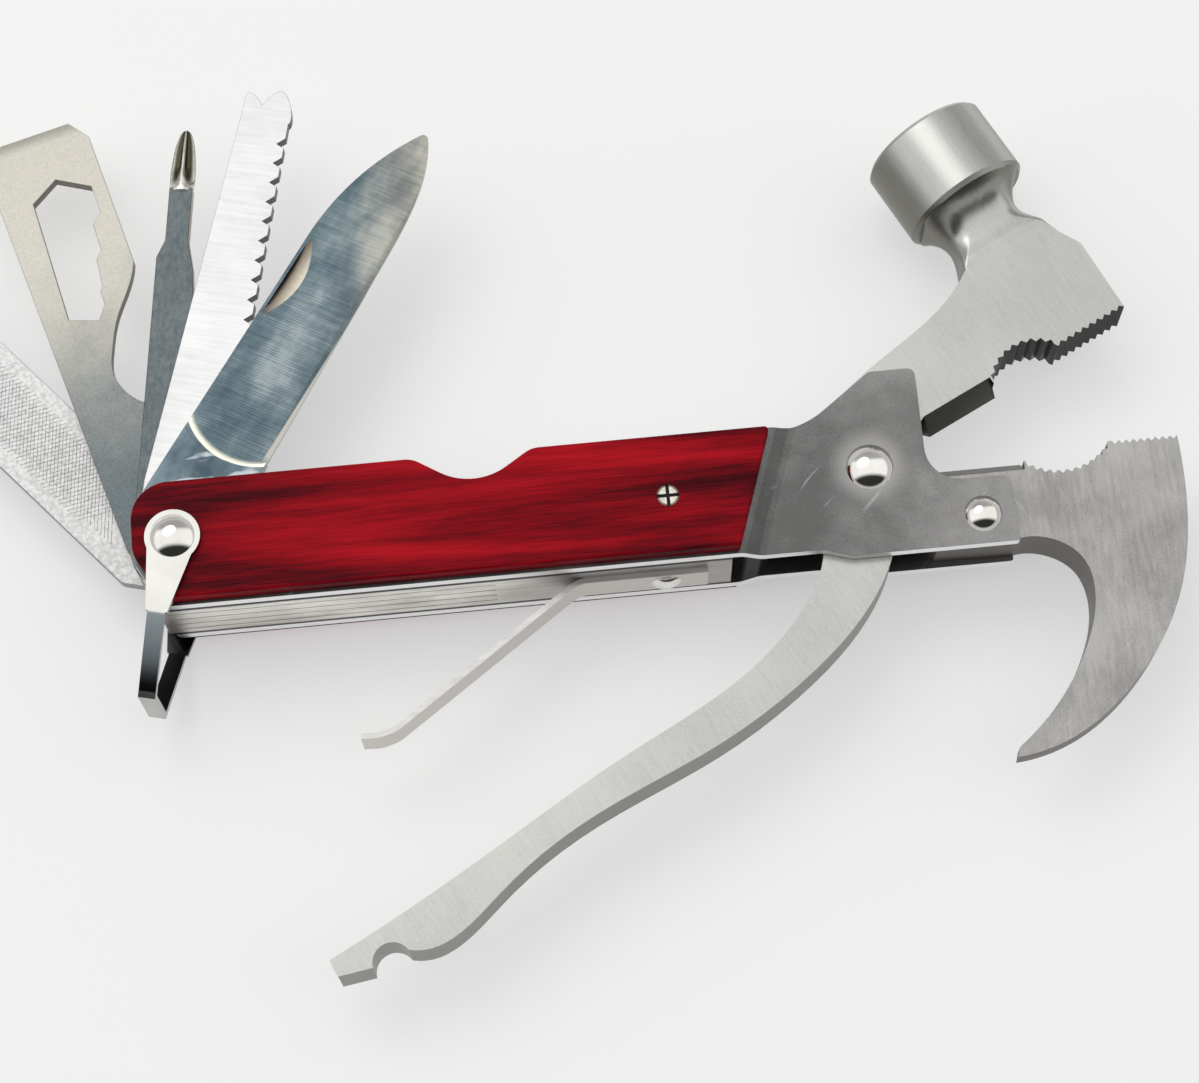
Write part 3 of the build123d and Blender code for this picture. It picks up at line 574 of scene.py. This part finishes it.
# ---- Geometry Nodes ---------------------------------------------------------------------
class Recipe:
    """A Geometry Nodes tree with named number inputs, ending in Realize Instances and Set Material."""

    def __init__(self, name, sizes):
        self.tree = bpy.data.node_groups.new(name, "GeometryNodeTree")
        self.tree.interface.new_socket("Geometry", in_out="INPUT", socket_type="NodeSocketGeometry")
        self.ids = {}
        for size in sizes:
            kind = "NodeSocketInt" if size.startswith("Count") else "NodeSocketFloat"
            socket = self.tree.interface.new_socket(size, in_out="INPUT", socket_type=kind)
            self.ids[size] = socket.identifier
        material = self.tree.interface.new_socket("Material", in_out="INPUT",
                                                  socket_type="NodeSocketMaterial")
        self.ids["Material"] = material.identifier
        self.tree.interface.new_socket("Geometry", in_out="OUTPUT", socket_type="NodeSocketGeometry")
        self.inputs = self.tree.nodes.new("NodeGroupInput").outputs

    def node(self, kind, settings=None, values=None):
        node = self.tree.nodes.new(kind)
        for name, value in (settings or {}).items():
            setattr(node, name, value)
        for name, value in (values or {}).items():
            if isinstance(value, bpy.types.NodeSocket):
                self.tree.links.new(value, node.inputs[name])
            else:
                node.inputs[name].default_value = value
        return node.outputs

    def maths(self, operation, first, second):
        return self.node("ShaderNodeMath", {"operation": operation}, {0: first, 1: second})[0]

    def vector(self, x=0.0, y=0.0, z=0.0):
        return self.node("ShaderNodeCombineXYZ", {}, {0: x, 1: y, 2: z})[0]

    def close(self, geometry):
        real = self.node("GeometryNodeRealizeInstances", {}, {"Geometry": geometry})[0]
        painted = self.node("GeometryNodeSetMaterial", {},
                            {"Geometry": real, "Material": self.inputs["Material"]})[0]
        output = self.tree.nodes.new("NodeGroupOutput")
        self.tree.links.new(painted, output.inputs[0])

    def make(self, name, material, base=None, **sizes):
        """Run the recipe on a base object, or on nothing, and keep the plain mesh."""
        if base is None:
            base = bpy.data.objects.new(name, bpy.data.meshes.new(name))
        bpy.context.scene.collection.objects.link(base)
        modifier = base.modifiers.new("recipe", "NODES")
        modifier.node_group = self.tree
        for size, value in sizes.items():
            modifier[self.ids[size.replace("_", " ")]] = value
        modifier[self.ids["Material"]] = materials[material]
        graph = bpy.context.evaluated_depsgraph_get()
        mesh = bpy.data.meshes.new_from_object(base.evaluated_get(graph))
        bpy.data.objects.remove(base)
        piece = bpy.data.objects.new(name, mesh)
        bpy.context.scene.collection.objects.link(piece)
        return piece


def rivet_recipe():
    """A shank with a domed head on each end, standing on Z. A head is the cap of a larger sphere."""
    recipe = Recipe("rivet", ["Shank", "Head", "Dome", "Half length"])
    maths = recipe.maths
    size = recipe.inputs
    ball = recipe.node("GeometryNodeMeshUVSphere", {}, {"Segments": 64, "Rings": 60, "Radius": 1.0})[0]
    spot = recipe.node("ShaderNodeSeparateXYZ", {}, {0: recipe.node("GeometryNodeInputPosition")[0]})
    squares = [maths("MULTIPLY", spot[axis], spot[axis]) for axis in (0, 1)]
    reach = maths("MULTIPLY", maths("ADD", *squares), maths("MULTIPLY", size["Head"], size["Head"]))
    chord = maths("DIVIDE", maths("MULTIPLY", size["Head"], size["Head"]), size["Dome"])
    cap = maths("MULTIPLY", maths("ADD", chord, size["Dome"]), 0.5)
    sphere = maths("SQRT", maths("SUBTRACT", maths("MULTIPLY", cap, cap), reach), 0.0)
    height = maths("SUBTRACT", maths("ADD", sphere, size["Dome"]), cap)
    above = maths("MULTIPLY", height, maths("GREATER_THAN", spot[2], 0.0))
    wide = [maths("MULTIPLY", spot[axis], size["Head"]) for axis in (0, 1)]
    head = recipe.node("GeometryNodeSetPosition", {},
                       {"Geometry": ball, "Position": recipe.vector(*wide, above)})[0]
    heads = []
    for side in (-1, 1):
        place = recipe.vector(z=maths("MULTIPLY", size["Half length"], side))
        turned = recipe.vector(x=0.0 if side > 0 else math.pi)
        heads.append(recipe.node("GeometryNodeTransform", {},
                                 {"Geometry": head, "Translation": place, "Rotation": turned})[0])
    depth = maths("MULTIPLY", size["Half length"], 2.0)
    shank = recipe.node("GeometryNodeMeshCylinder", {},
                        {"Vertices": 48, "Radius": size["Shank"], "Depth": depth})[0]
    joined = recipe.node("GeometryNodeJoinGeometry")
    join = recipe.tree.nodes[-1]
    for part in [shank] + heads:
        recipe.tree.links.new(part, join.inputs[0])
    smooth = recipe.node("GeometryNodeSetShadeSmooth", {}, {0: joined[0]})[0]
    recipe.close(smooth)
    return recipe


def strip_recipe():
    """A flat strip swept along a path, its bends rounded."""
    recipe = Recipe("strip", ["Width", "Thickness", "Bend radius"])
    size = recipe.inputs
    path = recipe.node("GeometryNodeFilletCurve", {"mode": "POLY"},
                       {"Curve": size["Geometry"], "Radius": size["Bend radius"], "Count": 10,
                        "Limit Radius": True})[0]
    upright = recipe.node("GeometryNodeSetCurveNormal", {"mode": "Z_UP"}, {"Curve": path})[0]
    section = recipe.node("GeometryNodeCurvePrimitiveQuadrilateral", {},
                          {"Width": size["Thickness"], "Height": size["Width"]})[0]
    swept = recipe.node("GeometryNodeCurveToMesh", {}, {"Curve": upright, "Profile Curve": section,
                                                        "Fill Caps": True})[0]
    recipe.close(swept)
    return recipe


def cut_recipe():
    """Rows of fine ridges side by side along X, for a file's teeth."""
    recipe = Recipe("file_cut", ["Count rows", "Pitch", "Length", "Height", "Slant"])
    size = recipe.inputs
    row = recipe.node("GeometryNodeMeshLine", {"mode": "OFFSET"},
                      {"Count": size["Count rows"], "Offset": recipe.vector(size["Pitch"])})[0]
    ridge_size = recipe.vector(size["Height"], size["Length"], size["Height"])
    ridge = recipe.node("GeometryNodeMeshCube", {}, {"Size": ridge_size})[0]
    on_edge = recipe.vector(y=math.radians(45))
    slanted = recipe.vector(z=size["Slant"])
    tilted = recipe.node("GeometryNodeTransform", {}, {"Geometry": ridge, "Rotation": on_edge})[0]
    turned = recipe.node("GeometryNodeTransform", {}, {"Geometry": tilted, "Rotation": slanted})[0]
    rows = recipe.node("GeometryNodeInstanceOnPoints", {}, {"Points": row, "Instance": turned})[0]
    recipe.close(rows)
    return recipe


def move_mesh(piece, place, turn=0.0):
    piece.data.transform(Matrix.Translation(place) @ Matrix.Rotation(turn, 4, "Z"))


def make_rivet(recipe, node, shank, dome):
    """A rivet as large as its node, its domes above the node's plates."""
    low, high = (Vector(corner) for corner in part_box(node))
    size = high - low
    piece = recipe.make(node + "_finished", "polished_steel", Shank=shank * MM, Head=size.x / 2,
                        Dome=dome * MM, Half_length=size.z / 2 - dome * MM)
    move_mesh(piece, (low + high) / 2)
    finish_piece(piece, "polished_steel", node)


def leaf_spring():
    """One continuous strip: riveted flat foot, bend, straight blade and turned-up tip."""
    foot, bend, blade_end = (-26.7, -13.35), (-47.0, -13.35), (-76.8, -34.2)
    route = [foot, bend, blade_end, (-79.4, -35.0), (-82.2, -34.9)]
    curve = bpy.data.curves.new("leaf_path", "CURVE")
    curve.dimensions = "3D"
    spline = curve.splines.new("POLY")
    spline.points.add(len(route) - 1)
    for point, (x, y) in zip(spline.points, route):
        point.co = (*(PIVOT + Vector((x, y, 0)) * MM), 1)
    path = bpy.data.objects.new("leaf_path", curve)
    piece = strip_recipe().make("leaf_spring_finished", "spring_steel", path,
                                Width=6.0 * MM, Thickness=0.9 * MM, Bend_radius=5.0 * MM)
    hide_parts("leaf_spring_foot", "leaf_spring_blade")
    piece.data.shade_smooth()
    piece.data.set_sharp_from_angle(angle=math.radians(40))
    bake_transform(piece)


def driver_tip(start, end, axis_offset, radius, half_thickness):
    """The cross tip: four wings round a core, the flutes deepening towards the point."""
    rings, sides = 40, 96
    swell, point_radius, deepest = 0.10, 0.18, 0.62
    mesh = bmesh.new()
    flute = mesh.verts.layers.float.new("flute")
    loops = []
    for ring in range(rings + 1):
        t = ring / rings
        body = radius * (1 + swell * math.sin(math.pi * min(1.0, t / 0.5)))
        taper = max(0.0, (t - 0.5) / 0.5)
        reach = body * math.sqrt(max(0.0, 1 - taper ** 1.7)) * (1 - swell * taper) + point_radius
        depth = deepest * min(1.0, max(0.0, (t - 0.06) / 0.34)) ** 0.7
        loop = []
        for side in range(sides):
            angle = math.tau * side / sides
            cut = depth * abs(math.sin(2 * angle)) ** 0.8
            size = reach * (1 - cut)
            place = (start + (end - start) * t, axis_offset + size * math.cos(angle),
                     size * math.sin(angle) * half_thickness / radius)
            vertex = mesh.verts.new(Vector(place) * MM)
            vertex[flute] = cut
            loop.append(vertex)
        loops.append(loop)
    for lower, upper in zip(loops, loops[1:]):
        for side in range(sides):
            after = (side + 1) % sides
            mesh.faces.new((lower[side], lower[after], upper[after], upper[side]))
    mesh.faces.new(list(reversed(loops[0])))
    mesh.faces.new(loops[-1])
    bmesh.ops.recalc_face_normals(mesh, faces=mesh.faces)
    data = bpy.data.meshes.new("driver_tip")
    mesh.to_mesh(data)
    mesh.free()
    data.shade_smooth()
    return data


def driver():
    """The flat driver, its blank end cut off for a fluted cross tip."""
    turn = rest_turn("driver_fold")
    tip_start, tip_end, overlap = 64.0, 74.8, 0.6
    low, high = (Vector(corner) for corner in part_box("phillips_driver"))
    ahead = Matrix.Rotation(turn, 3, "Z") @ Vector((1, 0, 0))
    blank = clean_copy("phillips_driver", "phillips_driver_finished")
    shape = bmesh.new()
    shape.from_mesh(blank.data)
    everything = shape.verts[:] + shape.edges[:] + shape.faces[:]
    cut = bmesh.ops.bisect_plane(shape, geom=everything, dist=1e-6, clear_outer=True,
                                 plane_co=AXLE + ahead * tip_start * MM, plane_no=ahead)
    rim = [item for item in cut["geom_cut"] if isinstance(item, bmesh.types.BMEdge)]
    bmesh.ops.holes_fill(shape, edges=rim)
    shape.to_mesh(blank.data)
    shape.free()
    soften(blank, 0.15)
    finish_piece(blank, "driver_steel", "phillips_driver")
    tip_mesh = driver_tip(tip_start - overlap, tip_end, axis_offset=4.95, radius=1.72, half_thickness=1.15)
    tip = bpy.data.objects.new("driver_tip", tip_mesh)
    bpy.context.scene.collection.objects.link(tip)
    move_mesh(tip, Vector((AXLE.x, AXLE.y, (low.z + high.z) / 2)), turn)
    tip.data.materials.append(materials["fluted_steel"])
    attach(tip, frame["nodes"]["phillips_driver"]["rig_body"])


def file_teeth():
    """Crossing rows of ridges on both faces of the file."""
    recipe = cut_recipe()
    turn = rest_turn("file_fold")
    low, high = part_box("file_blade")
    first_row = Vector((15.5, 1.45, 0))
    for name, height in (("front", high[2]), ("back", low[2])):
        for cut, slant in (("first", 1.05), ("second", -0.8)):
            piece = recipe.make(f"file_{name}_{cut}_cut", "file_steel", Count_rows=70, Pitch=0.8 * MM,
                                Length=11.5 * MM, Height=0.055 * MM, Slant=slant - math.pi / 2)
            start = Vector((AXLE.x, AXLE.y, height))
            offset = Matrix.Rotation(turn, 3, "Z") @ first_row * MM
            move_mesh(piece, start + offset, turn)
            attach(piece, frame["nodes"]["file_blade"]["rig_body"])


# ---- Floor, light and camera ------------------------------------------------------------
def make_floor():
    mesh = bpy.data.meshes.new("floor")
    half = 3.0
    corners = [(-half, -half, 0), (half, -half, 0), (half, half, 0), (-half, half, 0)]
    mesh.from_pydata(corners, [], [(0, 1, 2, 3)])
    floor = bpy.data.objects.new("floor", mesh)
    bpy.context.scene.collection.objects.link(floor)
    paint = Paint("floor", Roughness=1.0, Specular_IOR_Level=0.0, Emission_Strength=0.45)
    paint.set("Emission Color", (1.0, 0.985, 1.01, 1))
    paint.set("Base Color", (0.50, 0.515, 0.495, 1))
    mesh.materials.append(paint.material)


def softbox(name, place, aim, size, power):
    light = bpy.data.lights.new(name, "AREA")
    light.shape = "ELLIPSE"
    light.size, light.size_y = size
    light.energy = power
    lamp = bpy.data.objects.new(name, light)
    lamp.location = place
    lamp.rotation_euler = (Vector(aim) - Vector(place)).to_track_quat("-Z", "Y").to_euler()
    bpy.context.scene.collection.objects.link(lamp)


class Sky(Paint):
    """The world's light, built with the same nodes as a material."""

    def __init__(self, name):
        world = bpy.data.worlds.new(name)
        world.use_nodes = True
        bpy.context.scene.world = world
        self.tree = world.node_tree
        self.shader = self.tree.nodes["Background"]


def make_world(level):
    """Grey walls under a pale ceiling that is black in front and dim behind, for the domes to mirror."""
    sky = Sky("studio")
    direction = sky.node("ShaderNodeTexCoord").outputs["Generated"]
    ahead, up = sky.axis(direction, "Y"), sky.axis(direction, "Z")
    walls = 1 - up.band(0.27, 0.42)
    front = ahead.band(-0.52, -0.24)
    rear = 1 - ahead.band(0.46, 0.68) * 0.62
    overhead = (front * rear * 0.97 + 0.03) * (1 - walls)
    sky.set("Color", (1.0, 0.995, 0.985, 1))
    sky.set("Strength", (overhead + walls * 0.55) * level)


def make_camera():
    roll = math.radians(-2.58)
    data = bpy.data.cameras.new("camera")
    data.sensor_width = 36.0
    data.lens = 90.1
    data.clip_start = 0.02
    camera = bpy.data.objects.new("camera", data)
    place = PIVOT + Vector((-50.9, -161.1, 444.6)) * MM
    aim = PIVOT + Vector((-43.0, -6.1, 0.0)) * MM
    turn = (aim - place).to_track_quat("-Z", "Y") @ Matrix.Rotation(roll, 4, "Z").to_quaternion()
    camera.location = place
    camera.rotation_euler = turn.to_euler()
    bpy.context.scene.collection.objects.link(camera)
    bpy.context.scene.camera = camera


# ---- Making -----------------------------------------------------------------------------
materials = make_materials()

# Each node that keeps its own shape: its material and the width of its rounded edges, in mm.
EDGES = {
    "front_plate": ("stamped_steel", 0.28),
    "back_plate": ("stamped_steel", 0.28),
    "front_scale": ("red_wood", 0.5),
    "back_scale": ("red_wood", 0.5),
    "scale_screws": ("screw_steel", 0.05),
    "tool_washers": ("spring_steel", 0.05),
    "claw_jaw": ("claw_steel", 0.2),
    "hammer_lever": ("cast_steel", 0.2),
    "tool_spring": ("slit_spring", 0.03),
    "spring_bracket": ("spring_steel", 0.1),
    "leaf_spring_rivet": ("polished_steel", 0.08),
    "lock_clip": ("clip_steel", 0.12),
    "knife_blade": ("knife_steel", 0.05),
    "saw_blade": ("bright_steel", 0.08),
    "opener_wrench": ("opener_steel", 0.12),
    "file_blade": ("file_steel", 0.12),
}
for node, (material, width) in EDGES.items():
    edged(node, material, width)

# Each rivet: the radius of its shank and the height of its domes, in mm.
RIVETS = {"tool_axle": (2.0, 1.3), "jaw_pivot_rivet": (2.4, 1.7), "claw_rivet": (1.9, 1.5)}
rivets = rivet_recipe()
for node, (shank, dome) in RIVETS.items():
    make_rivet(rivets, node, shank, dome)

leaf_spring()
driver()
file_teeth()

make_floor()
make_world(level=1.12)
softbox("key", place=(-0.25, 0.45, 0.8), aim=(0, 0, 0), size=(0.75, 0.6), power=1.55)
make_camera()
bpy.context.scene.view_settings.view_transform = "Standard"
